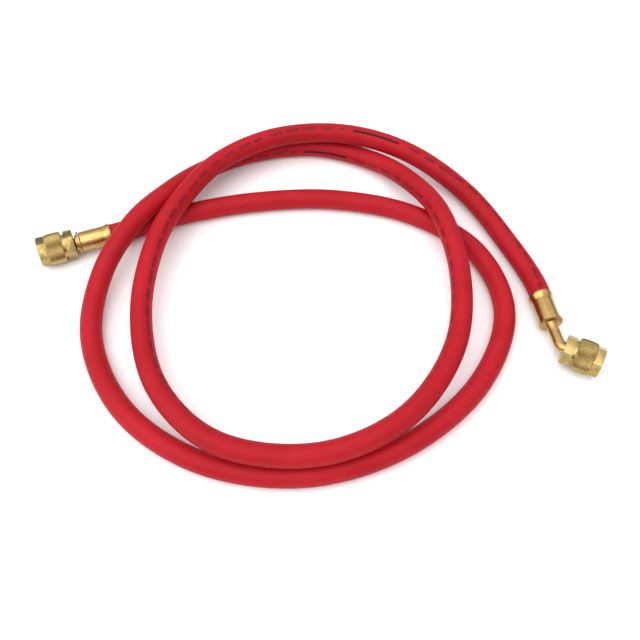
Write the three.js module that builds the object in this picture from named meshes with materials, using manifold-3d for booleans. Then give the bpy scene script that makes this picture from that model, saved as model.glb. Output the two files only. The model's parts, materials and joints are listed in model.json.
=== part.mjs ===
// A charging hose for refrigerant, lying in two loose turns on a level floor.
// Rubber hose, crimped ferrules, a straight fitting on one end and a bent one on the other,
// each with a swivel nut that turns on its stem. Millimetres, +Z up, floor at z = 0.
import * as THREE from "three";
import { mergeVertices } from "three/addons/utils/BufferGeometryUtils.js";
import Module from "manifold-3d";

const wasm = await Module();
wasm.setup();

// Clearances
const seatGap = 0.3; // between pieces that touch on the real object
const nutRunningGap = 0.6; // round the neck, inside the nut's rear hole
const floorGap = 0.05; // under the knurl of each nut
const cutOvershoot = 1; // how far a cutting shape reaches past what it cuts
const joinOverlap = 0.5; // how far a neck runs into the collar and flange that it joins

// Hose
const hoseDiameter = 12.7;
const hoseBore = 6.35;
const hoseSides = 12;
const hoseSteps = 66;

// Ferrules
const ferruleLength = 19;
const ferruleDiameter = 12.7;
const ferruleWall = 0.6;
const bellDiameter = 14.4;
const bellLength = 4.5;
const bellWall = 0.5;
const bellLand = 1.4; // straight rim at the mouth of the bell
const bellMiddle = 0.6; // share of the bell's length where its taper is half done
const ferruleEndWall = 1.2;
const ferruleEdgeRound = 0.4;

// Stems
const tailLength = 16.5; // reach of the barbed tail into the hose, from the ferrule's end
const barbCount = 3;
const barbDepth = 0.35;
const barbSlope = 0.85; // share of each barb's length that slopes up to its edge
const stemBore = 3.2;
const collarDiameter = 14.2;
const collarWidth = 1.3;
const collarEdgeRound = 0.2;
const neckDiameter = 6.6;
const neckToNut = 2.1; // bare neck between the straight stem's collar and its nut
const swivelFlangeWidth = 2;

// Elbow of the bent stem
const elbowAngle = 54 * THREE.MathUtils.DEG2RAD;
const elbowRadius = 7;
const collarToBend = 16.5; // from the collar's face to where the two axes cross
const bendToNut = 1.8; // from where the axes cross to the nut's rear face

// Swivel nuts
const acrossFlats = 15.9;
const rearHexLength = 5.4;
const grooveWidth = 1.4;
const grooveDiameter = 15;
const knurlLength = 10.4;
const knurlDiameter = 19.6;
const knurlCrown = 0.6; // how much smaller the knurl's radius is at its two edges
const crownReach = 0.94; // share of the knurl's length that the crown curves over
const crownSteps = 6;
const knurlEdgeDrop = 0.5; // rounding of the knurl's two edges
const frontHexLength = 4.8;
const hexChamfer = 0.9;
const chamferSlope = 0.55; // length along the axis for each millimetre off the radius
const shoulderWidth = 3.4; // rear wall of the nut, which the stem's flange bears on
const reliefDiameter = 11.2;
const reliefLength = 4.4;
const reliefRunout = 0.6; // cone from the relief down to the thread's bore
const threadBore = 10;
const mouthChamfer = 0.9;
const leftNutTurn = 19 * THREE.MathUtils.DEG2RAD; // how the nuts happen to be turned
const rightNutTurn = 17 * THREE.MathUtils.DEG2RAD;

// Gaskets, and the core depressor of the bent end
const gasketWidth = 1.8;
const gasketHole = 4.8;
const depressorWidth = 0.8;
const depressorPinDiameter = 1.4;
const depressorPinLength = 3.6;
const depressorPinTip = 0.3;
const depressorSlotWidth = 1;
const depressorSlotCount = 3;
const depressorHub = 0.2; // ring of metal left round the pin, inside the slots

// Where the two ends lie: the place of each ferrule's outer end, the way the
// fitting points, and how much it rises towards its nut, which is the fatter piece
const leftEndPlace = [-143, 33];
const leftEndHeading = 201.5 * THREE.MathUtils.DEG2RAD;
const rightEndPlace = [142.1, -25.5];
const rightEndHeading = -81 * THREE.MathUtils.DEG2RAD;
const endRise = 3 * THREE.MathUtils.DEG2RAD;

// The hose's way over the floor from the left fitting to the right one, x, y, z
const route = [
  [-83, 57, 6.6], [-35, 68, 6.4], [16, 70, 6.4], [65, 58, 6.4],
  [103.7, 28.5, 6.4], [116.8, -16, 6.4], [97.5, -64, 6.5], [53.5, -102, 6.4],
  [0, -119, 6.4], [-56.5, -111.5, 6.4], [-101, -82, 6.8], [-126, -35, 7],
  [-124, 8, 13], [-108, 39.5, 21], [-92.3, 64, 18], [-71.6, 90.3, 11],
  [-38, 111.5, 7.2], [5, 117, 6.9], [44.6, 102, 8.2], [65.8, 78, 15.2],
  [81.4, 48, 20.8], [90.4, 3, 18], [83.3, -46, 15.8], [52, -91.3, 17.8],
  [6, -112.6, 19.6], [-47.2, -105.8, 19], [-82.2, -71.9, 16.2], [-97, -21, 15.8],
  [-92, 30, 19.7], [-78.5, 61, 21.6], [-57.5, 91, 21.2], [-22, 112.6, 20.4],
  [23, 115.8, 20.3], [65, 104, 15.6], [102, 75, 8.4], [125.3, 33.5, 7],
];
const straightLead = 10; // how far the hose runs on straight outside each ferrule

const roundSides = 24;
const neckSides = 16;
const neckSteps = 14;
const boreSides = 12;
const boreSteps = 18;

const hoseRadius = hoseDiameter / 2;
const boreFlat = (hoseBore / 2) * Math.cos(Math.PI / hoseSides);
const tailRadius = boreFlat - seatGap;
const ferruleRadius = ferruleDiameter / 2;
const crimpedBore = ferruleRadius - ferruleWall;
const bellBore = bellDiameter / 2 - bellWall;
const bellSqueeze = (bellBore - seatGap) / Math.cos(Math.PI / roundSides);
const nutLength = rearHexLength + grooveWidth + knurlLength + frontHexLength;
const knurlMiddle = rearHexLength + grooveWidth + knurlLength / 2;
const flangeStart = shoulderWidth + seatGap; // measured from the nut's rear face
const gasketStart = flangeStart + swivelFlangeWidth + seatGap;
const flangeRadius = threadBore / 2 - seatGap;
const collarFace = seatGap + collarWidth;
const straightNutStart = collarFace + neckToNut;
const bendPlace = collarFace + collarToBend;

const rubber = { color: 0xc42a34, roughness: 0.5, metalness: 0 };
const brass = { color: 0xcdb25c, roughness: 0.35, metalness: 1 };
const gasketRubber = { color: 0x1d1d1f, roughness: 0.7, metalness: 0 };

// A solid from a closed geometry, with its seams joined and its faces turned outwards
function solid(geometry) {
  const bare = geometry.index ? geometry.clone() : geometry;
  for (const name of ["normal", "uv"]) bare.deleteAttribute(name);
  const joined = mergeVertices(bare, 1e-4);
  const place = joined.attributes.position;
  const corner = [new THREE.Vector3(), new THREE.Vector3(), new THREE.Vector3()];
  const kept = [];
  let volume = 0;
  for (let i = 0; i < joined.index.count; i += 3) {
    const ids = [0, 1, 2].map((k) => joined.index.getX(i + k));
    if (new Set(ids).size < 3) continue;
    ids.forEach((id, k) => corner[k].fromBufferAttribute(place, id));
    volume += corner[0].dot(corner[1].clone().cross(corner[2]));
    kept.push(ids);
  }
  const facing = volume < 0 ? kept.map(([a, b, c]) => [a, c, b]) : kept;
  const mesh = new wasm.Mesh({
    numProp: 3,
    vertProperties: new Float32Array(place.array),
    triVerts: new Uint32Array(facing.flat()),
  });
  return new wasm.Manifold(mesh);
}

// A solid turned about the x axis, from points of place along the axis and radius
function turned(profile, sides) {
  const points = profile.map(([along, radius]) => new THREE.Vector2(radius, along));
  const geometry = new THREE.LatheGeometry(points, sides);
  geometry.rotateZ(-Math.PI / 2);
  return solid(geometry);
}

function turnedRing(profile, sides) {
  return turned([...profile, profile[0]], sides);
}

function polygonShape(radius, sides, hole = 0) {
  const corner = (r, k) => {
    const angle = (2 * Math.PI * (k + 0.5)) / sides;
    return new THREE.Vector2(r * Math.cos(angle), r * Math.sin(angle));
  };
  const around = Array.from({ length: sides }, (_, k) => k);
  const shape = new THREE.Shape(around.map((k) => corner(radius, k)));
  if (hole > 0) shape.holes.push(new THREE.Path(around.map((k) => corner(hole, k))));
  return shape;
}

function tube(shape, path, steps) {
  return solid(new THREE.ExtrudeGeometry(shape, { steps, extrudePath: path, bevelEnabled: false }));
}

function prism(sides, flats, length) {
  const shape = polygonShape(flats / 2 / Math.cos(Math.PI / sides), sides);
  const geometry = new THREE.ExtrudeGeometry(shape, { depth: length, bevelEnabled: false });
  geometry.rotateY(Math.PI / 2);
  return solid(geometry);
}

function named(name, body, look) {
  const { vertProperties, triVerts } = body.getMesh();
  const geometry = new THREE.BufferGeometry();
  geometry.setAttribute("position", new THREE.BufferAttribute(vertProperties, 3));
  geometry.setIndex(new THREE.BufferAttribute(triVerts, 1));
  geometry.computeVertexNormals();
  const mesh = new THREE.Mesh(geometry, new THREE.MeshStandardMaterial({ ...look, flatShading: true }));
  mesh.name = name;
  return mesh;
}

// The way of the bent stem: straight out of the collar, round the bend, into the nut
class ElbowCurve extends THREE.Curve {
  constructor(start, beyond) {
    super();
    const tangent = elbowRadius * Math.tan(elbowAngle / 2);
    this.start = start;
    this.straight = bendPlace - tangent - start;
    this.arc = elbowRadius * elbowAngle;
    this.last = beyond - tangent;
  }

  getPoint(t, target = new THREE.Vector3()) {
    const run = t * (this.straight + this.arc + this.last);
    if (run <= this.straight) return target.set(this.start + run, 0, 0);
    const angle = Math.min((run - this.straight) / elbowRadius, elbowAngle);
    const rest = Math.max(run - this.straight - this.arc, 0);
    const bendStart = this.start + this.straight;
    return target.set(
      bendStart + elbowRadius * Math.sin(angle) + rest * Math.cos(elbowAngle),
      elbowRadius * (1 - Math.cos(angle)) + rest * Math.sin(elbowAngle),
      0,
    );
  }
}

// Crimped sleeve: a flared bell round the hose, a drawn-down body, an end wall with a hole
function makeFerrule() {
  const mouth = -ferruleLength;
  const bellEdge = bellDiameter / 2;
  return turnedRing([
    [mouth, bellBore],
    [mouth, bellEdge - ferruleEdgeRound],
    [mouth + ferruleEdgeRound, bellEdge],
    [mouth + bellLand, bellEdge],
    [mouth + bellLength * bellMiddle, (bellEdge + ferruleRadius) / 2],
    [mouth + bellLength, ferruleRadius],
    [-ferruleEdgeRound, ferruleRadius],
    [0, ferruleRadius - ferruleEdgeRound],
    [0, tailRadius + seatGap],
    [-ferruleEndWall, tailRadius + seatGap],
    [-ferruleEndWall, crimpedBore],
    [mouth + bellLength, crimpedBore],
    [mouth + bellLand, bellBore],
  ], roundSides);
}

// What the crimp squeezes off the hose: the ring left between the hose and the ferrule
function crimpTool() {
  const mouth = -ferruleLength;
  const outside = hoseRadius + cutOvershoot;
  return turnedRing([
    [mouth - seatGap, bellSqueeze],
    [mouth + bellLand, bellSqueeze],
    [mouth + bellLength, crimpedBore - seatGap],
    [seatGap, crimpedBore - seatGap],
    [seatGap, outside],
    [mouth - seatGap, outside],
  ], roundSides);
}

// Barbed tail, in saw teeth that slope towards the hose, and the collar outside the ferrule
function tailAndCollar() {
  const barbLength = (tailLength - ferruleEndWall - seatGap) / barbCount;
  const teeth = [];
  for (let k = 0; k < barbCount; k += 1) {
    const start = -tailLength + k * barbLength;
    teeth.push([start, tailRadius - barbDepth]);
    teeth.push([start + barbLength * barbSlope, tailRadius]);
  }
  const collarRadius = collarDiameter / 2;
  return turned([
    [-tailLength, 0],
    ...teeth,
    [-ferruleEndWall, tailRadius],
    [seatGap, tailRadius],
    [seatGap, collarRadius - collarEdgeRound],
    [seatGap + collarEdgeRound, collarRadius],
    [collarFace - collarEdgeRound, collarRadius],
    [collarFace, collarRadius - collarEdgeRound],
    [collarFace, 0],
  ], roundSides);
}

function swivelFlange() {
  return turned([
    [flangeStart, 0],
    [flangeStart, flangeRadius],
    [flangeStart + swivelFlangeWidth, flangeRadius],
    [flangeStart + swivelFlangeWidth, 0],
  ], roundSides);
}

function makeStraightStem() {
  const neckStart = collarFace - joinOverlap;
  const neckEnd = straightNutStart + flangeStart + joinOverlap;
  const neck = turned([
    [neckStart, 0],
    [neckStart, neckDiameter / 2],
    [neckEnd, neckDiameter / 2],
    [neckEnd, 0],
  ], roundSides);
  const boreStart = -tailLength - cutOvershoot;
  const boreEnd = straightNutStart + flangeStart + swivelFlangeWidth + cutOvershoot;
  const bore = turned([
    [boreStart, 0],
    [boreStart, stemBore / 2],
    [boreEnd, stemBore / 2],
    [boreEnd, 0],
  ], boreSides);
  const flange = swivelFlange().translate([straightNutStart, 0, 0]);
  return tailAndCollar().add(neck).add(flange).subtract(bore);
}

function makeBentStem() {
  const flangeReach = bendToNut + flangeStart;
  const boreReach = flangeReach + swivelFlangeWidth + cutOvershoot;
  const neckPath = new ElbowCurve(collarFace - joinOverlap, flangeReach + joinOverlap);
  const borePath = new ElbowCurve(-tailLength - cutOvershoot, boreReach);
  const neck = tube(polygonShape(neckDiameter / 2, neckSides), neckPath, neckSteps);
  const bore = tube(polygonShape(stemBore / 2, boreSides), borePath, boreSteps);
  const degrees = THREE.MathUtils.radToDeg(elbowAngle);
  const flange = swivelFlange().translate([bendToNut, 0, 0]).rotate([0, 0, degrees]);
  return tailAndCollar().add(neck).add(flange.translate([bendPlace, 0, 0])).subtract(bore);
}

// Hexagon at both ends, a crowned band for the knurl between them, a groove behind it
function makeNut() {
  const cornerRadius = acrossFlats / 2 / Math.cos(Math.PI / 6);
  const chamferStart = cornerRadius - hexChamfer;
  const chamferWidth = (hexChamfer + cutOvershoot) * chamferSlope;
  const hexagon = prism(6, acrossFlats, nutLength);
  const hexEnds = turned([
    [0, 0],
    [0, chamferStart],
    [chamferWidth, cornerRadius + cutOvershoot],
    [nutLength - chamferWidth, cornerRadius + cutOvershoot],
    [nutLength, chamferStart],
    [nutLength, 0],
  ], roundSides);
  const knurlStart = rearHexLength + grooveWidth;
  const crowned = [];
  for (let k = 0; k <= crownSteps; k += 1) {
    const across = ((2 * k) / crownSteps - 1) * crownReach;
    const radius = knurlDiameter / 2 - knurlCrown * across * across;
    crowned.push([knurlStart + (knurlLength * (1 + across)) / 2, radius]);
  }
  const edge = knurlDiameter / 2 - knurlCrown - knurlEdgeDrop;
  const knurl = turned([
    [knurlStart, 0],
    [knurlStart, edge],
    ...crowned,
    [knurlStart + knurlLength, edge],
    [knurlStart + knurlLength, 0],
  ], roundSides);
  const groove = turnedRing([
    [rearHexLength, grooveDiameter / 2],
    [knurlStart, grooveDiameter / 2],
    [knurlStart, knurlDiameter],
    [rearHexLength, knurlDiameter],
  ], roundSides);
  const neckHole = neckDiameter / 2 + nutRunningGap;
  const reliefEnd = shoulderWidth + reliefLength;
  const inside = turned([
    [-cutOvershoot, 0],
    [-cutOvershoot, neckHole],
    [shoulderWidth, neckHole],
    [shoulderWidth, reliefDiameter / 2],
    [reliefEnd, reliefDiameter / 2],
    [reliefEnd + reliefRunout, threadBore / 2],
    [nutLength - mouthChamfer, threadBore / 2],
    [nutLength + cutOvershoot, threadBore / 2 + mouthChamfer + cutOvershoot],
    [nutLength + cutOvershoot, 0],
  ], roundSides);
  return hexagon.intersect(hexEnds).add(knurl).subtract(groove).subtract(inside);
}

function makeGasket() {
  return turnedRing([
    [gasketStart, gasketHole / 2],
    [gasketStart, flangeRadius],
    [gasketStart + gasketWidth, flangeRadius],
    [gasketStart + gasketWidth, gasketHole / 2],
  ], roundSides);
}

// Slotted disc in the gasket's hole, with the pin that opens a service valve
function makeDepressor() {
  const discRadius = gasketHole / 2 - seatGap;
  const pinEnd = gasketStart + depressorWidth + depressorPinLength;
  const disc = turned([
    [gasketStart, 0],
    [gasketStart, discRadius],
    [gasketStart + depressorWidth, discRadius],
    [gasketStart + depressorWidth, depressorPinDiameter / 2],
    [pinEnd - depressorPinTip, depressorPinDiameter / 2],
    [pinEnd, depressorPinDiameter / 2 - depressorPinTip],
    [pinEnd, 0],
  ], boreSides);
  const slotStart = depressorPinDiameter / 2 + depressorHub;
  const slotThrough = depressorWidth + 2 * cutOvershoot;
  const slot = new THREE.BoxGeometry(slotThrough, discRadius, depressorSlotWidth);
  slot.translate(gasketStart + depressorWidth / 2, slotStart + discRadius / 2, 0);
  let body = disc;
  for (let k = 0; k < depressorSlotCount; k += 1) {
    const around = (2 * Math.PI * k) / depressorSlotCount;
    body = body.subtract(solid(slot.clone().rotateX(around)));
  }
  return body;
}

// A fitting's own frame: x out along its ferrule, resting on the floor at its nut's knurl
function endFrame([x, y], heading, knurlAlong, nutTurn) {
  const frame = new THREE.Group();
  const nutRise = Math.asin(Math.sin(endRise) * Math.cos(nutTurn));
  const knurlHeight = (knurlDiameter / 2) * Math.cos(nutRise) + floorGap;
  frame.position.set(x, y, knurlHeight - knurlAlong * Math.sin(endRise));
  frame.rotation.set(0, -endRise, heading, "ZYX");
  frame.updateMatrixWorld();
  return frame;
}

const leftEnd = endFrame(leftEndPlace, leftEndHeading, straightNutStart + knurlMiddle, 0);
const rightKnurlAlong = bendPlace + (bendToNut + knurlMiddle) * Math.cos(elbowAngle);
const rightEnd = endFrame(rightEndPlace, rightEndHeading, rightKnurlAlong, elbowAngle);

function makeHose() {
  const hoseStart = -ferruleEndWall - seatGap;
  const at = (frame, along) => new THREE.Vector3(along, 0, 0).applyMatrix4(frame.matrixWorld);
  const way = new THREE.CatmullRomCurve3([
    at(leftEnd, hoseStart),
    at(leftEnd, -ferruleLength - straightLead),
    ...route.map((point) => new THREE.Vector3(...point)),
    at(rightEnd, -ferruleLength - straightLead),
    at(rightEnd, hoseStart),
  ]);
  way.arcLengthDivisions = 2000;
  const wall = polygonShape(hoseRadius, hoseSides, hoseBore / 2);
  let body = tube(wall, way, hoseSteps);
  for (const frame of [leftEnd, rightEnd]) {
    body = body.subtract(crimpTool().transform(frame.matrixWorld.elements));
  }
  return body;
}

leftEnd.add(named("left_ferrule", makeFerrule(), brass));
leftEnd.add(named("left_stem", makeStraightStem(), brass));
const leftNutFrame = new THREE.Group();
leftNutFrame.position.x = straightNutStart;
leftNutFrame.rotation.x = leftNutTurn;
leftNutFrame.add(named("left_nut", makeNut(), brass));
leftNutFrame.add(named("left_gasket", makeGasket(), gasketRubber));
leftEnd.add(leftNutFrame);

rightEnd.add(named("right_ferrule", makeFerrule(), brass));
rightEnd.add(named("right_elbow", makeBentStem(), brass));
const rightNutFrame = new THREE.Group();
rightNutFrame.position.set(
  bendPlace + bendToNut * Math.cos(elbowAngle),
  bendToNut * Math.sin(elbowAngle),
  0,
);
rightNutFrame.rotation.set(rightNutTurn, 0, elbowAngle, "ZYX");
rightNutFrame.add(named("right_nut", makeNut(), brass));
rightNutFrame.add(named("right_gasket", makeGasket(), gasketRubber));
rightNutFrame.add(named("core_depressor", makeDepressor(), brass));
rightEnd.add(rightNutFrame);

const model = new THREE.Group();
model.add(named("hose", makeHose(), rubber));
model.add(leftEnd);
model.add(rightEnd);

export default model;
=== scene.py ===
# %% [markdown]
# # A refrigerant charging hose
# A red rubber hose lies in two loose turns on a pale floor. Each end is crimped into a
# brass ferrule and carries a brass swivel nut: straight on the left, bent on the right.
# We work in metres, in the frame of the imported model, so nothing is fitted afterwards.

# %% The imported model
import json
import math

import bmesh
import bpy
from mathutils import Matrix, Vector


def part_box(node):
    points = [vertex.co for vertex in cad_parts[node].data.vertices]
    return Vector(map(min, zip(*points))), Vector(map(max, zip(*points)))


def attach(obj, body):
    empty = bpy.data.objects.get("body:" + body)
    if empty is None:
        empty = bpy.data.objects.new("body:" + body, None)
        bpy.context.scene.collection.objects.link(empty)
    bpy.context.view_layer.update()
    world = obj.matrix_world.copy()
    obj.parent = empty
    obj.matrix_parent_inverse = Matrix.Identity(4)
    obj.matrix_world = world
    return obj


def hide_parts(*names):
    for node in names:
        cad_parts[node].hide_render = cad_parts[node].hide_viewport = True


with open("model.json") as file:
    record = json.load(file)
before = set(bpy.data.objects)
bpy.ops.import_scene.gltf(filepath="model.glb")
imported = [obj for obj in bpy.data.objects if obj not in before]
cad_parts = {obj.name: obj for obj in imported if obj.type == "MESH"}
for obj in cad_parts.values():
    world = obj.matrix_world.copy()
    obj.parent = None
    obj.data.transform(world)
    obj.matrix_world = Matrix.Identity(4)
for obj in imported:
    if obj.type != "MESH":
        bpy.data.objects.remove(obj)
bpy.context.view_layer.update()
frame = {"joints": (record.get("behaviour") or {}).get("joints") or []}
mm = 0.001

# %% [markdown]
# ## The camera
# The photograph looks down on the coil from the front. A camera that points straight down
# needs no turn, so turning it about X by 90 degrees less the downward pitch tips it up to
# the right view, and no other turn is needed.

# %% The camera
view_pitch = math.radians(58)
view_distance = 446.305 * mm
aim = Vector((7, -23, 6.35)) * mm
lens = 42.5
sensor = 36

camera_data = bpy.data.cameras.new("camera")
camera_data.lens = lens
camera_data.sensor_width = sensor
camera = bpy.data.objects.new("camera", camera_data)
camera.location = aim + Vector((0, -math.cos(view_pitch), math.sin(view_pitch))) * view_distance
camera.rotation_euler = (math.pi / 2 - view_pitch, 0, 0)
bpy.context.scene.collection.objects.link(camera)
bpy.context.scene.camera = camera
print("camera at", [round(x, 4) for x in camera.location])

# %% [markdown]
# ## Where the fittings lie
# A fitting has its own frame: x runs out along its ferrule, and the origin is at the
# ferrule's outer end. The nut is fatter than the hose, so it lifts that end of the hose a
# little, and the ferrule points up by a few degrees. The right stem bends before its nut.

# %% Frames of the two fittings
end_rise = math.radians(3)
elbow_angle = math.radians(54)
elbow_radius = 7 * mm
collar_face = 1.6 * mm
neck_to_nut = 2.1 * mm
bend_place = collar_face + 16.5 * mm
bend_to_nut = 1.8 * mm
knurl_radius = 9.8 * mm
knurl_middle = 12 * mm
floor_gap = 0.05 * mm
left_nut_turn = math.radians(19)
right_nut_turn = math.radians(17)


def fitting_frame(x, y, heading, knurl_along, bend):
    """The frame of a ferrule whose nut rests on the floor at its knurl."""
    nut_rise = math.asin(math.sin(end_rise) * math.cos(bend))
    height = knurl_radius * math.cos(nut_rise) + floor_gap - knurl_along * math.sin(end_rise)
    turn = Matrix.Rotation(heading, 4, "Z") @ Matrix.Rotation(-end_rise, 4, "Y")
    return Matrix.Translation((x, y, height)) @ turn


left_nut_along = collar_face + neck_to_nut
left_end = fitting_frame(
    -143 * mm, 33 * mm, math.radians(201.5), left_nut_along + knurl_middle, 0
)
right_knurl_along = bend_place + (bend_to_nut + knurl_middle) * math.cos(elbow_angle)
right_end = fitting_frame(
    142.1 * mm, -25.5 * mm, math.radians(-81), right_knurl_along, elbow_angle
)
left_nut_frame = (
    left_end
    @ Matrix.Translation((left_nut_along, 0, 0))
    @ Matrix.Rotation(left_nut_turn, 4, "X")
)
right_nut_frame = (
    right_end
    @ Matrix.Translation((bend_place, 0, 0))
    @ Matrix.Rotation(elbow_angle, 4, "Z")
    @ Matrix.Translation((bend_to_nut, 0, 0))
    @ Matrix.Rotation(right_nut_turn, 4, "X")
)
for joint, nut_frame in zip(frame["joints"], (left_nut_frame, right_nut_frame)):
    off = (nut_frame.translation - Vector(joint["pos_m"])).length
    print(joint["name"], "axis off by", round(off / mm, 3), "mm")

# %% [markdown]
# ## The hose's way
# A hose is stiff, so it lies in wide, even curves. The route is a short list of given points,
# and a smooth curve runs through all of them. A centripetal
# Catmull-Rom curve is used because it never overshoots between points that are
# unevenly spaced, so the hose can't bulge through its neighbour.

# %% The route of the hose
hose_diameter = 12.7 * mm
ferrule_length = 19 * mm
end_wall = 1.2 * mm
seat_gap = 0.3 * mm
straight_lead = 10 * mm
route = [
    (-83, 57, 6.6), (-35, 68, 6.4), (16, 70, 6.4), (65, 58, 6.4),
    (103.7, 28.5, 6.4), (116.8, -16, 6.4), (97.5, -64, 6.5), (53.5, -102, 6.4),
    (0, -119, 6.4), (-56.5, -111.5, 6.4), (-101, -82, 6.8), (-126, -35, 7),
    (-124, 8, 13), (-108, 39.5, 21), (-92.3, 64, 18), (-71.6, 90.3, 11),
    (-38, 111.5, 7.2), (5, 117, 6.9), (44.6, 102, 8.2), (65.8, 78, 15.2),
    (81.4, 48, 20.8), (90.4, 3, 18), (83.3, -46, 15.8), (52, -91.3, 17.8),
    (6, -112.6, 19.6), (-47.2, -105.8, 19), (-82.2, -71.9, 16.2), (-97, -21, 15.8),
    (-92, 30, 19.7), (-78.5, 61, 21.6), (-57.5, 91, 21.2), (-22, 112.6, 20.4),
    (23, 115.8, 20.3), (65, 104, 15.6), (102, 75, 8.4), (125.3, 33.5, 7),
]


def along(place, distance):
    return place @ Vector((distance, 0, 0))


def smooth_curve(points, pieces=40):
    """A centripetal Catmull-Rom curve through the points, as a list of close points."""
    first = points[0] * 2 - points[1]
    last = points[-1] * 2 - points[-2]
    line = [first, *points, last]
    curve = []
    for a, b, c, d in zip(line, line[1:], line[2:], line[3:]):
        gaps = [math.sqrt((q - p).length) for p, q in ((a, b), (b, c), (c, d))]
        start = ((b - a) / gaps[0] - (c - a) / (gaps[0] + gaps[1]) + (c - b) / gaps[1]) * gaps[1]
        end = ((c - b) / gaps[1] - (d - b) / (gaps[1] + gaps[2]) + (d - c) / gaps[2]) * gaps[1]
        for k in range(pieces):
            t = k / pieces
            bend = 3 * (c - b) - 2 * start - end
            twist = 2 * (b - c) + start + end
            curve.append(b + start * t + bend * t**2 + twist * t**3)
    return [*curve, points[-1]]


def even_points(line, step):
    """Points at an even distance along a line of close points."""
    lengths = [0.0]
    for p, q in zip(line, line[1:]):
        lengths.append(lengths[-1] + (q - p).length)
    count = round(lengths[-1] / step)
    points = []
    k = 0
    for n in range(count + 1):
        wanted = lengths[-1] * n / count
        while k < len(line) - 2 and lengths[k + 1] < wanted:
            k += 1
        share = (wanted - lengths[k]) / (lengths[k + 1] - lengths[k])
        points.append(line[k].lerp(line[k + 1], share))
    return points, lengths[-1]


lead = -ferrule_length - straight_lead
hose_end = -end_wall - seat_gap
hose_line = smooth_curve([
    along(left_end, hose_end),
    along(left_end, lead),
    *[Vector(point) * mm for point in route],
    along(right_end, lead),
    along(right_end, hose_end),
])
ring_step = 2.9 * mm
hose_path, hose_length = even_points(hose_line, ring_step)
print("hose:", round(hose_length, 4), "m long,", len(hose_path), "rings")

# %% [markdown]
# ## Small helpers for meshes
# A turned piece is a profile spun round the x axis, as on a lathe. A swept piece is a ring
# of edges that is extruded step by step along a path. Both come from bmesh operators, and
# afterwards doubles are merged and the normals are turned outwards.


# %% Turning, sweeping and finishing
merge_distance = 1e-7


def tidy_mesh(bm, merge=merge_distance):
    bmesh.ops.remove_doubles(bm, verts=bm.verts, dist=merge)
    bmesh.ops.recalc_face_normals(bm, faces=bm.faces)
    return bm


def turned(profile, sides, closed=False):
    """Spin points of (place along x, radius) about the x axis."""
    bm = bmesh.new()
    points = [bm.verts.new((x, 0, radius)) for x, radius in profile]
    loop = points + points[:1] if closed else points
    edges = [bm.edges.new(pair) for pair in zip(loop, loop[1:])]
    bmesh.ops.spin(
        bm, geom=points + edges, cent=(0, 0, 0), axis=(1, 0, 0),
        angle=2 * math.pi, steps=sides, use_merge=True, use_normal_flip=False,
    )
    return tidy_mesh(bm)


def rounded(profile, corners, radius, steps):
    """The profile with an arc of that radius at each corner that is named by its place."""
    points = []
    for k, here in enumerate(profile):
        if k not in corners:
            points.append(here)
            continue
        p = Vector(profile[k - 1]) - Vector(here)
        q = Vector(profile[(k + 1) % len(profile)]) - Vector(here)
        half = p.angle(q) / 2
        most = 0.45 * min(p.length, q.length)
        reach = min(radius / math.tan(half), most)
        start = Vector(here) + p.normalized() * reach
        end = Vector(here) + q.normalized() * reach
        for n in range(steps + 1):
            t = n / steps
            point = start * (1 - t) ** 2 + Vector(here) * 2 * t * (1 - t) + end * t**2
            points.append((point.x, point.y))
    return points


def sweep(bm, edges, places):
    """Extrude a ring of edges from the first place to each of the others in turn."""
    for before, after in zip(places, places[1:]):
        made = bmesh.ops.extrude_edge_only(bm, edges=edges)["geom"]
        ring = [x for x in made if isinstance(x, bmesh.types.BMVert)]
        fresh = set(ring)
        edges = [x for x in made if isinstance(x, bmesh.types.BMEdge) and set(x.verts) <= fresh]
        bmesh.ops.transform(bm, matrix=after @ before.inverted(), verts=ring)
    return edges


def way_frames(points, up=Vector((0, 0, 1))):
    """A frame at each point of a path: x along it, and z as near to up as can be."""
    frames = []
    for k, point in enumerate(points):
        ahead = points[min(k + 1, len(points) - 1)] - points[max(k - 1, 0)]
        x = ahead.normalized()
        z = (up - x * up.dot(x)).normalized()
        y = z.cross(x)
        turn = Matrix((x, y, z)).transposed().to_4x4()
        frames.append(Matrix.Translation(point) @ turn)
    return frames


def finished(name, bm, place=None, sharp=None):
    """An object from a bmesh, smooth but for the edges sharper than the given angle."""
    if place is not None:
        bmesh.ops.transform(bm, matrix=place, verts=bm.verts)
    for face in bm.faces:
        face.smooth = True
    for edge in bm.edges:
        if sharp is not None and len(edge.link_faces) == 2:
            edge.smooth = edge.calc_face_angle(0) < sharp
    mesh = bpy.data.meshes.new(name)
    bm.to_mesh(mesh)
    bm.free()
    piece = bpy.data.objects.new(name, mesh)
    bpy.context.scene.collection.objects.link(piece)
    print(name, len(mesh.polygons), "faces")
    return piece


# %% [markdown]
# ## The hose
# The cover is one extruded tube of rubber. It keeps its round section on the wide bends,
# and is squeezed to a smaller radius where the ferrules grip it. At each end the bore
# is open for the barbed tail of the stem. The mesh carries a UV map in metres: u runs along
# the hose, and v runs round it from the line where the print is, so that the printed
# marks follow the hose as it twists a little along its way.

# %% The line of print, as the hose twists
hose_sides = 40
print_turns = [  # metres along the hose, and degrees from its top
    (0.0, 190), (0.60, 170), (0.73, 110), (0.83, 82), (0.90, 76), (1.00, 56),
    (1.15, 62), (1.34, 47), (1.47, 33), (1.53, 19), (1.59, 18), (1.62, 14), (1.65, -10),
    (1.68, -23), (1.71, -12), (1.74, 12),
]


def print_angle(distance):
    """The angle of the print from the top of the hose, at a distance along it."""
    for (s0, a0), (s1, a1) in zip(print_turns, print_turns[1:]):
        if distance <= s1:
            t = (distance - s0) / (s1 - s0)
            return math.radians(a0 + (a1 - a0) * t * t * (3 - 2 * t))
    return math.radians(print_turns[-1][1])


# %% [markdown]
# One ring of edges is extruded along the path. The ring is scaled in its own frame at each
# step, which gives the squeezed ends, and the end caps are inset and pushed in for the bore.

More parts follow.
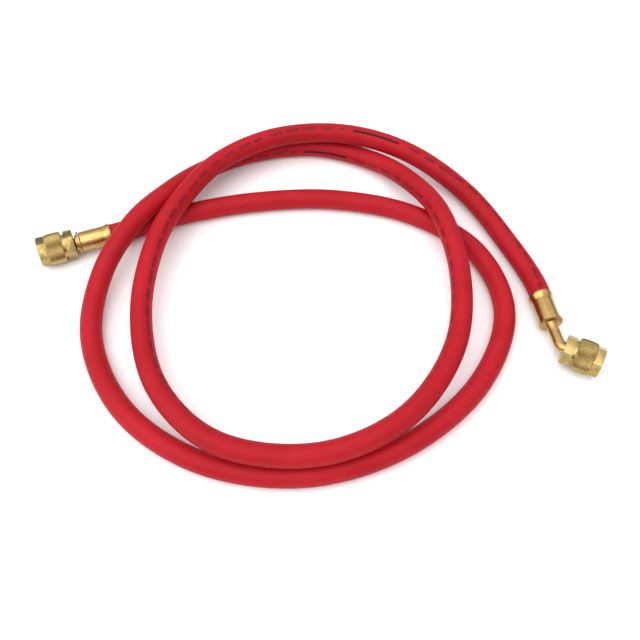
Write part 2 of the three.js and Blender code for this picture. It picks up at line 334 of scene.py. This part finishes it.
# %% The hose as a swept tube
hose_radius = hose_diameter / 2
hose_wall = 3.1 * mm
bell_land = 1.4 * mm
bell_length = 4.5 * mm
crimped_radius = 5.45 * mm
bore_depth = 20 * mm
cap_corner = math.radians(50)


def hose_radius_at(distance):
    """Full size outside the ferrules, and squeezed inside them."""
    from_end = min(distance, hose_length - distance) - hose_end
    squeezed = ferrule_length - bell_length
    t = min(max((from_end - squeezed) / (bell_length - bell_land), 0), 1)
    return crimped_radius + (hose_radius - crimped_radius) * t


def make_hose():
    bm = bmesh.new()
    places = way_frames(hose_path)
    distances = [hose_length * k / (len(hose_path) - 1) for k in range(len(hose_path))]
    ring = bmesh.ops.create_circle(bm, segments=hose_sides, radius=1)["verts"]
    bmesh.ops.rotate(bm, verts=ring, matrix=Matrix.Rotation(math.pi / 2, 3, "Y"))
    sized = [
        place @ Matrix.Diagonal((1, radius, radius, 1))
        for place, radius in zip(places, map(hose_radius_at, distances))
    ]
    bmesh.ops.transform(bm, matrix=sized[0], verts=ring)
    first = list(bm.edges)
    last = sweep(bm, first, sized)
    marks = bm.loops.layers.uv.new("along_and_round")
    paint_uv(bm, marks, places, distances)
    for edges, way in ((first, 1), (last, -1)):
        cap = bmesh.ops.edgeloop_fill(bm, edges=edges)["faces"]
        bmesh.ops.inset_region(bm, faces=cap, thickness=hose_wall, use_even_offset=True)
        moved = bmesh.ops.extrude_face_region(bm, geom=cap)["geom"]
        inner = [x for x in moved if isinstance(x, bmesh.types.BMVert)]
        place = places[0] if way == 1 else places[-1]
        inward = place.to_3x3() @ Vector((way * bore_depth, 0, 0))
        bmesh.ops.translate(bm, vec=inward, verts=inner)
        bmesh.ops.delete(bm, geom=cap, context="FACES_ONLY")
    return tidy_mesh(bm)


def paint_uv(bm, marks, places, distances):
    """u in metres along the hose, v in metres round it from the line of print."""
    grid = {}
    bm.verts.ensure_lookup_table()
    for k, (place, distance) in enumerate(zip(places, distances)):
        back = place.inverted()
        for n in range(hose_sides):
            vert = bm.verts[k * hose_sides + n]
            at = back @ vert.co
            turn = math.atan2(-at.y, at.z) - print_angle(distance)
            grid[vert] = (distance, math.remainder(turn, 2 * math.pi))
    for face in bm.faces:
        turns = [grid[loop.vert][1] for loop in face.loops]
        wraps = max(turns) - min(turns) > math.pi
        for loop, turn in zip(face.loops, turns):
            over = 2 * math.pi if wraps and turn < 0 else 0
            loop[marks].uv = (grid[loop.vert][0], (turn + over) * hose_radius)


hose = finished("red_hose", make_hose(), sharp=cap_corner)

# %% [markdown]
# ## Ferrules
# A ferrule is drawn from thin brass tube. Its mouth flares into a bell that lets the hose
# bend without being cut, and a crimping tool with eight jaws squeezes the body, which
# leaves eight very shallow flats. A spun profile gives the sleeve, and the jaws' marks are
# pressed in by moving the points of the body inwards between the jaws' seams.

# %% The ferrules
bell_radius = 7.2 * mm
bell_bore = 6.7 * mm
ferrule_radius = 6.35 * mm
ferrule_bore = 5.75 * mm
tail_hole = 3.1 * mm
bell_middle = 0.6
jaw_count = 8
jaw_mark = 0.07 * mm
jaw_fade = 1 * mm
seam_power = 6
bend_rounding = 1.2 * mm
mouth_rounding = 0.3 * mm
crease = math.radians(40)
ferrule_profile = [
    (-ferrule_length, bell_bore),
    (-ferrule_length, bell_radius),
    (-ferrule_length + bell_land, bell_radius),
    (-ferrule_length + bell_middle * bell_length, (bell_radius + ferrule_radius) / 2),
    (-ferrule_length + bell_length, ferrule_radius),
    (0, ferrule_radius),
    (0, tail_hole),
    (-end_wall, tail_hole),
    (-end_wall, ferrule_bore),
    (-ferrule_length + bell_length, ferrule_bore),
    (-ferrule_length + bell_land, bell_bore),
]


def make_ferrule():
    outline = rounded(ferrule_profile, {2, 3, 4}, bend_rounding, 5)
    outline = rounded(outline, {0, 1, len(outline) - 6}, mouth_rounding, 3)
    bm = turned(outline, 96, closed=True)
    start = -ferrule_length + bell_length
    body = [v for v in bm.verts if v.co.yz.length > (ferrule_bore + ferrule_radius) / 2]
    for vert in body:
        seam = abs(math.cos(math.atan2(vert.co.y, vert.co.z) * jaw_count / 2))
        from_bell = min(max((vert.co.x - start) / jaw_fade, 0), 1)
        from_face = min(max(-vert.co.x / jaw_fade, 0), 1)
        depth = jaw_mark * from_bell * from_face * (1 - seam**seam_power)
        press = 1 - depth / ferrule_radius
        bmesh.ops.scale(bm, vec=(1, press, press), verts=[vert])
    return bm


left_ferrule = finished("left_crimped_ferrule", make_ferrule(), left_end, crease)
right_ferrule = finished("right_crimped_ferrule", make_ferrule(), right_end, crease)

# %% [markdown]
# ## Stems
# A stem is one brass piece: a barbed tail in the hose, a round collar outside the ferrule,
# a neck, and a flange inside the nut that the nut pulls against. The straight stem is turned
# in one go, with a low shoulder next to the collar. The bent stem starts as the same tail,
# and its neck is a ring swept round the bend, with its flange at the far end.

# %% The straight stem
tail_length = 16.5 * mm
tail_radius = 2.76 * mm
barb_depth = 0.35 * mm
barb_count = 3
barb_slope = 0.85
collar_radius = 7.1 * mm
collar_edge = 0.2 * mm
shoulder_length = 1.4 * mm
shoulder_radius = 5.2 * mm
neck_radius = 3.3 * mm
neck_root = 0.5 * mm
root_curve = 0.35
stem_bore = 1.6 * mm
flange_start = 3.7 * mm
flange_width = 2 * mm
flange_radius = 4.7 * mm
flange_edge = 0.25 * mm
stem_crease = math.radians(30)


def tail_profile(shoulder=0):
    """The barbed tail, the collar and any shoulder, from the bore at the tail's tip."""
    barb_length = (tail_length - end_wall - seat_gap) / barb_count
    points = [(-tail_length, stem_bore)]
    for k in range(barb_count):
        start = -tail_length + k * barb_length
        points.append((start, tail_radius - barb_depth))
        points.append((start + barb_slope * barb_length, tail_radius))
    root = collar_face + shoulder
    points += [
        (-end_wall, tail_radius),
        (seat_gap, tail_radius),
        (seat_gap, collar_radius - collar_edge),
        (seat_gap + collar_edge, collar_radius),
        (collar_face - collar_edge, collar_radius),
        (collar_face, collar_radius - collar_edge),
    ]
    if shoulder:
        points += [
            (collar_face, shoulder_radius),
            (root - collar_edge, shoulder_radius),
            (root, shoulder_radius - collar_edge),
        ]
    points += [
        (root, neck_radius + neck_root),
        (root + root_curve * neck_root, neck_radius + root_curve * neck_root),
        (root + neck_root, neck_radius),
    ]
    return points


def flange_profile(start):
    """The neck's far end, the flange and its sealing face."""
    return [
        (start, neck_radius),
        (start, flange_radius - flange_edge),
        (start + flange_edge, flange_radius),
        (start + flange_width - flange_edge, flange_radius),
        (start + flange_width, flange_radius - flange_edge),
        (start + flange_width, stem_bore),
    ]


straight_profile = [
    *tail_profile(shoulder_length), *flange_profile(left_nut_along + flange_start)
]
left_stem = finished(
    "left_straight_stem", turned(straight_profile, 64, closed=True), left_end, stem_crease
)

# %% [markdown]
# The bent neck is swept as two rings, one for its outside and one for its bore. The flange
# is turned by itself, moved to the far end, and the bore's last ring is bridged to it.

# %% The bent stem
bend_steps = 14
stem_sides = 48
weld_distance = 1e-6


def bent_way():
    """The neck's middle line in the fitting's frame: straight, round the bend, straight."""
    tangent = elbow_radius * math.tan(elbow_angle / 2)
    bend_start = bend_place - tangent
    points = [Vector((collar_face + neck_root, 0, 0))]
    points.append(Vector(((points[0].x + bend_start) / 2, 0, 0)))
    for k in range(bend_steps + 1):
        angle = elbow_angle * k / bend_steps
        x = bend_start + elbow_radius * math.sin(angle)
        points.append(Vector((x, elbow_radius * (1 - math.cos(angle)), 0)))
    reach = bend_to_nut + flange_start
    end = Vector((math.cos(elbow_angle), math.sin(elbow_angle), 0)) * reach
    points.append(Vector((bend_place, 0, 0)) + end)
    return points


def make_bent_stem():
    """The turned tail, then the neck and its bore swept along the bend to the flange."""
    bm = turned(tail_profile(), stem_sides)
    places = way_frames(bent_way())
    places[0] = Matrix.Translation(bent_way()[0])
    flange_at = (
        Matrix.Translation((bend_place, 0, 0))
        @ Matrix.Rotation(elbow_angle, 4, "Z")
        @ Matrix.Translation((bend_to_nut, 0, 0))
    )
    places[-1] = flange_at @ Matrix.Translation((flange_start, 0, 0))
    open_edges = [e for e in bm.edges if e.is_boundary]
    outer = [e for e in open_edges if e.verts[0].co.x > collar_face]
    inner = [e for e in open_edges if e not in outer]
    sweep(bm, outer, places)
    bore_places = [Matrix.Translation((-tail_length, 0, 0)), *places]
    bore_end = sweep(bm, inner, bore_places)
    flange = turned(flange_profile(flange_start), stem_sides)
    bmesh.ops.transform(flange, matrix=flange_at, verts=flange.verts)
    scratch = bpy.data.meshes.new("flange")
    flange.to_mesh(scratch)
    flange.free()
    bm.from_mesh(scratch)
    bpy.data.meshes.remove(scratch)
    face_place = flange_start + flange_width
    to_nut = flange_at.inverted()
    sealing = [
        e for e in bm.edges
        if e.is_boundary and abs((to_nut @ e.verts[0].co).x - face_place) < 0.1 * mm
    ]
    bmesh.ops.bridge_loops(bm, edges=[*bore_end, *sealing])
    return tidy_mesh(bm, weld_distance)


right_stem = finished("right_bent_stem", make_bent_stem(), right_end, stem_crease)

# %% [markdown]
# ## Swivel nuts
# A nut is turned from hexagon bar. The hexagon is left at both ends for a spanner, and the
# middle is knurled so that it can also be turned by hand. We join simple closed shapes
# with Boolean modifiers: a short hexagon, trimmed by a chamfered barrel, goes on each end of
# a turned core that has the groove and the knurl, and then the threaded bore is cut out.
# The shapes reach well into each other, because faces that lie together confuse the cut.

# %% Joining and cutting closed shapes
def carve(body, tool, operation):
    """Join, cut or trim one closed shape with another, and return a new bmesh."""
    objects = []
    for bm in (body, tool):
        mesh = bpy.data.meshes.new("shape")
        bm.to_mesh(mesh)
        bm.free()
        shape = bpy.data.objects.new("shape", mesh)
        bpy.context.scene.collection.objects.link(shape)
        objects.append(shape)
    cut = objects[0].modifiers.new("carve", "BOOLEAN")
    cut.operation = operation
    cut.solver = "EXACT"
    cut.object = objects[1]
    bpy.context.view_layer.update()
    shaped = objects[0].evaluated_get(bpy.context.evaluated_depsgraph_get())
    result = bmesh.new()
    result.from_mesh(shaped.data)
    for shape in objects:
        mesh = shape.data
        bpy.data.objects.remove(shape)
        bpy.data.meshes.remove(mesh)
    return result


# %% [markdown]
# Turning a hexagon bar between centres cuts its corners to a cone, and that leaves a curved
# chamfer on each flat. Meeting a six-sided bar with a spun barrel gives the same curves.

# %% The short hexagons with their chamfers
across_flats = 15.9 * mm
rear_hex = 5.4 * mm
groove_width = 1.4 * mm
groove_radius = 7.5 * mm
knurl_length = 10.4 * mm
front_hex = 4.8 * mm
knurl_start = rear_hex + groove_width
knurl_end = knurl_start + knurl_length
nut_length = knurl_end + front_hex
hex_chamfer = 0.9 * mm
chamfer_slope = 0.55
edge_break = 0.12 * mm
over = 1 * mm
bite = 0.35 * mm


def make_hexagon(start, end, chamfered):
    """A short hexagon bar, trimmed by a barrel at its outer end, with its edges broken."""
    corner = across_flats / 2 / math.cos(math.pi / 6)
    bar = bmesh.new()
    bmesh.ops.create_cone(
        bar, cap_ends=True, segments=6, radius1=corner, radius2=corner, depth=end - start
    )
    stand = Matrix.Translation(((start + end) / 2, 0, 0)) @ Matrix.Rotation(math.pi / 2, 4, "Y")
    bmesh.ops.transform(bar, matrix=stand, verts=bar.verts)
    way = 1 if chamfered == end else -1
    other = start if chamfered == end else end
    slope = chamfer_slope * way
    barrel = turned([
        (other - way * over, 0),
        (other - way * over, corner + over),
        (chamfered - slope * (hex_chamfer + over), corner + over),
        (chamfered + slope * over, corner - hex_chamfer - over),
        (chamfered + slope * over, 0),
    ], 120)
    hexagon = carve(bar, barrel, "INTERSECT")
    bmesh.ops.dissolve_limit(
        hexagon, angle_limit=math.radians(1), verts=hexagon.verts, edges=hexagon.edges
    )
    ridges = [e for e in hexagon.edges if e.calc_face_angle(0) > math.radians(18)]
    bmesh.ops.bevel(
        hexagon, geom=ridges, offset=edge_break, offset_type="OFFSET", segments=2,
        profile=0.5, affect="EDGES", clamp_overlap=True, material=-1,
    )
    return hexagon


# %% [markdown]
# A diamond knurl is a field of small pyramids. We spin the barrel's outline into a grid of
# squares, raise every other point, and split each square across its two low points, so
# that every raised point becomes the tip of a pyramid with four flat sides.

# %% The knurled band
knurl_crown = 0.6 * mm
knurl_depth = 0.28 * mm
knurl_around = 96
knurl_rows = 18
crown_power = 4
lip_drop = 0.5 * mm


def make_core():
    """The turned core: a neck for the groove, and the crowned band with its pyramids."""
    row_length = knurl_length / knurl_rows
    crown = []
    for k in range(knurl_rows + 1):
        share = 2 * k / knurl_rows - 1
        crown.append((knurl_start + row_length * k, knurl_radius - knurl_crown * share**crown_power))
    lip = knurl_radius - knurl_crown - lip_drop
    bm = turned([
        (rear_hex - bite, 0),
        (rear_hex - bite, groove_radius),
        (knurl_start, groove_radius),
        (knurl_start, lip),
        *crown,
        (knurl_end, lip),
        (knurl_end + bite, groove_radius),
        (knurl_end + bite, 0),
    ], knurl_around)
    low = set()
    for vert in bm.verts:
        if vert.co.yz.length < lip + lip_drop / 2:
            continue
        row = (vert.co.x - knurl_start) / row_length
        column = math.atan2(vert.co.y, vert.co.z) / (2 * math.pi) * knurl_around
        edge = row < 0.5 or row > knurl_rows - 0.5
        if edge or (round(row) + round(column)) % 2:
            low.add(vert)
    for vert in low:
        vert.co.yz = vert.co.yz * (1 - knurl_depth / vert.co.yz.length)
    quads = [f for f in bm.faces if len(f.verts) == 4 and sum(v in low for v in f.verts) == 2]
    for face in quads:
        pair = [v for v in face.verts if v in low]
        if all(e.other_vert(pair[0]) is not pair[1] for e in pair[0].link_edges):
            bmesh.utils.face_split(face, pair[0], pair[1])
    return bm


# %% [markdown]
# Inside, the bore is open at both ends: a hole for the stem's neck, a relief that the
# flange turns in, and the thread, which is cut here as even V grooves. They look like the
# real thread from the mouth and are much lighter to cut than a true helix.

# %% The bore and its thread
shoulder = 3.4 * mm
neck_hole = 3.9 * mm
relief_radius = 5.6 * mm
relief_end = shoulder + 4.4 * mm
relief_runout = 0.6 * mm
thread_radius = 5 * mm
thread_pitch = 1.27 * mm
thread_depth = 0.5 * mm
thread_lead = 0.2 * mm
groove_shape = ((0, 0), (0.45, thread_depth), (0.55, thread_depth), (0.95, 0))
mouth_chamfer = 0.9 * mm


def make_bore():
    points = [
        (-over, 0),
        (-over, neck_hole),
        (shoulder, neck_hole),
        (shoulder, relief_radius),
        (relief_end, relief_radius),
        (relief_end + relief_runout, thread_radius),
    ]
    place = relief_end + relief_runout + thread_lead
    while place + thread_pitch < nut_length - mouth_chamfer:
        for share, depth in groove_shape:
            points.append((place + share * thread_pitch, thread_radius + depth))
        place += thread_pitch
    points += [
        (nut_length - mouth_chamfer, thread_radius),
        (nut_length + over, thread_radius + mouth_chamfer + over),
        (nut_length + over, 0),
    ]
    return turned(points, 64)


# %% [markdown]
# The three shapes are joined and bored once, and both nuts are copies of the result. The
# join can leave a sliver of a hole, so any hole of up to four sides is filled.

# %% Both nuts
front_bite = 0.1 * mm
nut_crease = math.radians(24)


def make_nut():
    nut = carve(make_core(), make_hexagon(0, rear_hex, 0), "UNION")
    front = make_hexagon(knurl_end - front_bite, nut_length, nut_length)
    nut = carve(nut, front, "UNION")
    nut = carve(nut, make_bore(), "DIFFERENCE")
    bmesh.ops.remove_doubles(nut, verts=nut.verts, dist=merge_distance)
    bmesh.ops.dissolve_degenerate(nut, dist=merge_distance, edges=nut.edges)
    slivers = [e for e in nut.edges if e.is_boundary]
    bmesh.ops.holes_fill(nut, edges=slivers, sides=4)
    bmesh.ops.recalc_face_normals(nut, faces=nut.faces)
    holes = sum(len(e.link_faces) != 2 for e in nut.edges)
    reach = max(v.co.yz.length for v in nut.verts)
    print("nut:", holes, "open edges, radius", round(reach / mm, 2), "mm, volume",
          round(nut.calc_volume() / mm**3), "mm3")
    return nut


nut_shape = make_nut()
left_nut = finished("left_swivel_nut", nut_shape.copy(), left_nut_frame, nut_crease)
right_nut = finished("right_swivel_nut", nut_shape, right_nut_frame, nut_crease)

# %% [markdown]
# ## Gaskets and the core depressor
# Each nut holds a flat rubber ring against the stem's flange. In the bent end a small
# brass disc with three slots and a pin sits in the ring's hole, and the pin opens the
# service valve. They are only seen by looking into the mouth of a nut.

# %% Gaskets
gasket_start = flange_start + flange_width + seat_gap
gasket_width = 1.8 * mm
gasket_hole = 2.4 * mm
gasket_edge = 0.3 * mm
gasket_crease = math.radians(60)
gasket_profile = rounded([
    (gasket_start, gasket_hole),
    (gasket_start, flange_radius),
    (gasket_start + gasket_width, flange_radius),
    (gasket_start + gasket_width, gasket_hole),
], {0, 1, 2, 3}, gasket_edge, 4)
left_gasket = finished(
    "left_sealing_ring", turned(gasket_profile, 64, closed=True), left_nut_frame, gasket_crease
)
right_gasket = finished(
    "right_sealing_ring", turned(gasket_profile, 64, closed=True), right_nut_frame, gasket_crease
)

# %% [markdown]
# The depressor is a turned disc and pin in one. Its slots let the gas past, and each is cut
# by a thin block that reaches out from beside the pin.

# %% The core depressor
disc_width = 0.8 * mm
pin_radius = 0.7 * mm
pin_length = 3.6 * mm
pin_tip = 0.3 * mm
slot_width = 1 * mm
slot_count = 3
hub = 0.2 * mm
slot_start = pin_radius + hub


def make_depressor():
    disc_radius = gasket_hole - seat_gap
    face = gasket_start + disc_width
    end = face + pin_length
    bm = turned([
        (gasket_start, 0),
        (gasket_start, disc_radius),
        (face, disc_radius),
        (face, pin_radius),
        (end - pin_tip, pin_radius),
        (end, pin_radius - pin_tip),
        (end, 0),
    ], 48)
    for k in range(slot_count):
        slot = bmesh.new()
        bmesh.ops.create_cube(slot, size=1)
        shape = Matrix.Diagonal((3 * disc_width, disc_radius, slot_width, 1))
        middle = (gasket_start + disc_width / 2, slot_start + disc_radius / 2, 0)
        spin = Matrix.Rotation(2 * math.pi * k / slot_count, 4, "X")
        bmesh.ops.transform(
            slot, matrix=spin @ Matrix.Translation(middle) @ shape, verts=slot.verts
        )
        bm = carve(bm, slot, "DIFFERENCE")
    return bm


depressor = finished(
    "slotted_core_depressor", make_depressor(), right_nut_frame, stem_crease
)

# %% [markdown]
# ## Shader maths
# Material patterns are sums and products of numbers that change over the surface. The small
# class below lets us write them as plain Python: each operator adds one Math node.


# %% A material with sockets that can be added and multiplied
class Value:
    """A shader socket whose arithmetic adds Math nodes."""

    def __init__(self, finish, socket):
        self.finish = finish
        self.socket = socket

    def _math(self, operation, *inputs, clamp=False):
        values = {k: x for k, x in enumerate(inputs)}
        settings = {"operation": operation, "use_clamp": clamp}
        return self.finish.node("ShaderNodeMath", settings, values, "Value")

    def __add__(self, other):
        return self._math("ADD", self, other)

    __radd__ = __add__

    def __sub__(self, other):
        return self._math("SUBTRACT", self, other)

    def __rsub__(self, other):
        return self._math("SUBTRACT", other, self)

    def __mul__(self, other):
        return self._math("MULTIPLY", self, other)

    __rmul__ = __mul__

    def __truediv__(self, other):
        return self._math("DIVIDE", self, other)

    def __lt__(self, other):
        return self._math("LESS_THAN", self, other)

    def __gt__(self, other):
        return self._math("GREATER_THAN", self, other)

    def absolute(self):
        return self._math("ABSOLUTE", self)

    def fraction(self):
        return self._math("FRACT", self)

    def floor(self):
        return self._math("FLOOR", self)

    def clamped(self):
        return self._math("ADD", self, 0.0, clamp=True)

    def smooth(self, low, high):
        """0 below low, 1 above high, and a soft step between."""
        values = {"Value": self, "From Min": low, "From Max": high}
        return self.finish.node(
            "ShaderNodeMapRange", {"interpolation_type": "SMOOTHSTEP"}, values, "Result"
        )


class Finish:
    """A material, its Principled shader and one method that adds any node."""

    def __init__(self, name):
        self.material = bpy.data.materials.new(name)
        self.material.use_nodes = True
        self.tree = self.material.node_tree
        self.shader = self.tree.nodes["Principled BSDF"]

    def node(self, kind, settings, values, output):
        made = self.tree.nodes.new(kind)
        for name, value in settings.items():
            setattr(made, name, value)
        for key, value in values.items():
            self._fill(made.inputs[key], value)
        return Value(self, made.outputs[output])

    def _fill(self, socket, value):
        if isinstance(value, Value):
            self.tree.links.new(value.socket, socket)
        else:
            socket.default_value = value

    def set(self, name, value):
        self._fill(self.shader.inputs[name], value)

    def mix(self, share, a, b):
        """One colour or another, by a share from 0 to 1."""
        made = self.tree.nodes.new("ShaderNodeMix")
        made.data_type = "RGBA"
        for socket, value in zip((made.inputs[0], made.inputs[6], made.inputs[7]), (share, a, b)):
            self._fill(socket, value)
        return Value(self, made.outputs[2])

    def place(self):
        return self.node("ShaderNodeTexCoord", {}, {}, "Object")

    def stretched(self, place, scale):
        return self.node("ShaderNodeMapping", {}, {"Vector": place, "Scale": scale}, "Vector")

    def noise(self, place, scale, detail, roughness):
        values = {"Vector": place, "Scale": scale, "Detail": detail, "Roughness": roughness}
        return self.node("ShaderNodeTexNoise", {}, values, "Fac")

    def bump(self, height, distance, strength):
        values = {"Height": height, "Distance": distance, "Strength": strength}
        return self.node("ShaderNodeBump", {}, values, "Normal")


def colour(red, green, blue):
    """A colour given as 0 to 255 on screen, as the linear light that a shader needs."""
    def linear(x):
        x /= 255
        return x / 12.92 if x <= 0.04045 else ((x + 0.055) / 1.055) ** 2.4
    return (linear(red), linear(green), linear(blue), 1)


# %% [markdown]
# ## Red rubber
# The cover is smooth extruded rubber with a soft, nearly matt face. The red is deep and
# even, with broad, faint clouds of a lighter red, and with fine drag lines along it from
# the die. The faint ink is groups of plain ticks with one long bar in each turn, on the
# line of print that the UV map follows. Worn spots in it come from a noise.

# %% The rubber and its ink
tick_pitch = 1.3 * mm
group_pitch = 12 * mm
tick_height = 1.15 * mm
bar_places = ((0.862, 0.894), (1.557, 1.589))
bar_half = 0.85 * mm
bar_clear = 5 * mm


def make_rubber():
    f = Finish("red_rubber")
    place = f.place()
    uv = f.node("ShaderNodeUVMap", {"uv_map": "along_and_round"}, {}, "UV")
    parts = f.tree.nodes.new("ShaderNodeSeparateXYZ")
    f.tree.links.new(uv.socket, parts.inputs[0])
    u = Value(f, parts.outputs["X"])
    v = Value(f, parts.outputs["Y"])

    blotches = f.noise(place, 28, 4, 0.6)
    grain = f.noise(place, 2600, 2, 0.5)
    drag = f.noise(f.stretched(uv, (25, 2200, 1)), 1, 3, 0.6)
    base = f.mix(blotches.smooth(0.3, 0.7), colour(163, 17, 28), colour(177, 24, 36))
    base = f.mix(drag.smooth(0.35, 0.75) * 0.22, base, colour(144, 15, 24))

    tick = (u / tick_pitch).fraction()
    place_in_group = (u / group_pitch).fraction()
    varied = f.node(
        "ShaderNodeTexNoise", {"noise_dimensions": "1D"},
        {"W": (u / group_pitch).floor() * 0.73, "Scale": 1.0, "Detail": 0.0}, "Fac",
    )
    marks = (tick > 0.3) * (place_in_group < 0.5 + varied * 0.45)
    marks = marks * (1 - v.absolute().smooth(0.8 * tick_height, 1.1 * tick_height))
    bar = 0.0
    near_bar = 0.0
    for start, end in bar_places:
        bar = (u > start) * (u < end) + bar
        near_bar = (u > start - bar_clear) * (u < end + bar_clear) + near_bar
    bar = bar * (1 - v.absolute().smooth(0.8 * bar_half, 1.2 * bar_half))
    worn = f.noise(place, 420, 3, 0.7).smooth(0.36, 0.60)
    ink = (marks * (1 - near_bar) * (worn * 0.42 + 0.40) + bar * 0.93).clamped()
    f.set("Base Color", f.mix(ink, base, colour(52, 16, 30)))

    f.set("Roughness", 0.46 + blotches * 0.10 + drag * 0.08 + ink * 0.10)
    f.set("Normal", f.bump(grain * 0.35 + drag * 0.65, 0.03 * mm, 0.5))
    f.shader.inputs["Specular IOR Level"].default_value = 0.16
    return f.material


rubber = make_rubber()

# %% [markdown]
# ## Brass
# The fittings are bare machined brass. The ferrules are drawn from a warmer sheet, and the
# nuts are cut from a slightly greener bar. Lathe tools leave fine rings round the axis, so
# a noise that is stretched in rings varies the gloss. Fingers and storage leave soft dull
# patches and small darker specks. Each fitting lies another way, so a Mapping node turns
# the pattern to its axis.

# %% The brass of each fitting
def make_brass(name, place, tarnish, bright, worn):
    f = Finish(name)
    back = place.inverted()
    turn = back.to_euler("XYZ")
    settings = {"vector_type": "POINT"}
    values = {"Vector": f.place(), "Location": back.translation, "Rotation": turn}
    own = f.node("ShaderNodeMapping", settings, values, "Vector")
    rings = f.noise(f.stretched(own, (9000, 300, 300)), 1, 2, 0.6)
    patches = f.noise(own, 190, 4, 0.6)
    specks = f.noise(own, 1500, 3, 0.7)
    dull = patches.smooth(0.42, 0.72)
    pale = f.mix(dull, bright, worn)
    stained = f.mix(specks.smooth(0.55, 0.8) * tarnish, pale, colour(128, 98, 50))
    f.set("Base Color", stained)
    f.set("Metallic", 1.0)
    f.set("Roughness", 0.21 + dull * 0.12 + rings * 0.08)
    f.set("Normal", f.bump(rings * 0.7 + specks * 0.3, 0.010 * mm, 0.35))
    return f.material


drawn_brass = (colour(194, 160, 101), colour(176, 140, 82))
bar_brass = (colour(178, 154, 98), colour(156, 130, 75))
left_brass = make_brass("turned_brass_left", left_end, 0.35, *drawn_brass)
right_brass = make_brass("turned_brass_right", right_end, 0.35, *drawn_brass)
left_nut_brass = make_brass("knurled_brass_left", left_nut_frame, 0.6, *bar_brass)
right_nut_brass = make_brass("knurled_brass_right", right_nut_frame, 0.6, *bar_brass)


def make_gasket_rubber():
    f = Finish("black_gasket_rubber")
    cloud = f.noise(f.place(), 900, 3, 0.6)
    f.set("Base Color", f.mix(cloud, colour(24, 24, 26), colour(40, 39, 40)))
    f.set("Roughness", 0.55 + cloud * 0.2)
    f.set("Normal", f.bump(cloud, 0.02 * mm, 0.4))
    return f.material


gasket_rubber = make_gasket_rubber()

# %% [markdown]
# ## Putting the pieces on their bodies
# Every piece gets its material, rides on the body that it belongs to, and stands for the
# plain CAD node of the same thing. Only the nuts turn: each swivels on its stem.

# %% Materials, bodies and replaced nodes
pieces = [
    (hose, rubber, "hose_body", "hose", "red_rubber"),
    (left_ferrule, left_brass, "hose_body", "left_ferrule", "brass"),
    (left_stem, left_brass, "hose_body", "left_stem", "brass"),
    (left_nut, left_nut_brass, "left_nut_body", "left_nut", "brass"),
    (left_gasket, gasket_rubber, "hose_body", "left_gasket", "gasket_rubber"),
    (right_ferrule, right_brass, "hose_body", "right_ferrule", "brass"),
    (right_stem, right_brass, "hose_body", "right_elbow", "brass"),
    (right_nut, right_nut_brass, "right_nut_body", "right_nut", "brass"),
    (right_gasket, gasket_rubber, "hose_body", "right_gasket", "gasket_rubber"),
    (depressor, right_brass, "hose_body", "core_depressor", "brass"),
]
for piece, material, body, node, slot in pieces:
    piece.data.materials.append(material)
    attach(piece, body)
    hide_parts(node)
    low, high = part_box(node)
    grown = 0
    for k in range(3):
        ours = [corner[k] for corner in piece.bound_box]
        grown = max(grown, low[k] - min(ours), max(ours) - high[k])
    print(piece.name, "reaches", round(grown / mm, 2), "mm past its CAD node")

# %% [markdown]
# ## Floor and light
# The photograph is a plain product shot: a white ground and large soft lights, so shadows
# are faint. The floor is a wide sheet of white paper. One big light hangs above the
# camera's side, and one fills from the left.

# %% The floor
floor_size = 6.0
floor_bm = bmesh.new()
bmesh.ops.create_grid(floor_bm, x_segments=1, y_segments=1, size=floor_size)
floor = finished("floor", floor_bm)


def make_floor_paper():
    f = Finish("white_paper")
    fibre = f.noise(f.place(), 700, 2, 0.5)
    f.set("Base Color", f.mix(fibre, (0.95, 0.95, 0.95, 1), (0.98, 0.98, 0.98, 1)))
    f.set("Roughness", 0.8 + fibre * 0.1)
    return f.material


floor.data.materials.append(make_floor_paper())


# %% [markdown]
# Large lights give soft shadows. Each is turned to face the coil, and its power is chosen so
# that the paper washes out to white while the red stays well below.

# %% Lights
def soft_light(name, place, size, power):
    """A square area light that faces the coil."""
    data = bpy.data.lights.new(name, "AREA")
    data.shape = "SQUARE"
    data.size = size
    data.energy = power
    light = bpy.data.objects.new(name, data)
    light.location = place
    light.rotation_euler = (Vector(place) - aim).to_track_quat("Z", "Y").to_euler()
    bpy.context.scene.collection.objects.link(light)
    print(name, size, "m across,", power, "W")


soft_light("overhead_light", (-0.25, -0.35, 1.35), 1.5, 11.5)
soft_light("left_light", (-1.2, -0.3, 0.8), 1.1, 6.0)

# %% [markdown]
# Bare brass shows what surrounds it. The room is bright overhead and dark near the
# horizon, so facets that lean away from the camera turn dark, as they do on the real nuts.

# %% The room
horizon_light = 0.10
zenith_light = 1.15
bright_above = 0.75

world = bpy.data.worlds.new("room")
world.use_nodes = True
nodes = world.node_tree.nodes
links = world.node_tree.links
direction = nodes.new("ShaderNodeTexCoord")
split = nodes.new("ShaderNodeSeparateXYZ")
fade = nodes.new("ShaderNodeMapRange")
fade.interpolation_type = "SMOOTHSTEP"
for name, value in (("From Min", 0.0), ("From Max", bright_above),
                    ("To Min", horizon_light), ("To Max", zenith_light)):
    fade.inputs[name].default_value = value
links.new(direction.outputs["Generated"], split.inputs[0])
links.new(split.outputs["Z"], fade.inputs["Value"])
links.new(fade.outputs["Result"], nodes["Background"].inputs["Strength"])
nodes["Background"].inputs["Color"].default_value = (0.98, 0.99, 1.0, 1)
print("room light from", horizon_light, "at the horizon to", zenith_light, "overhead")
bpy.context.scene.world = world
bpy.context.scene.view_settings.view_transform = "Standard"
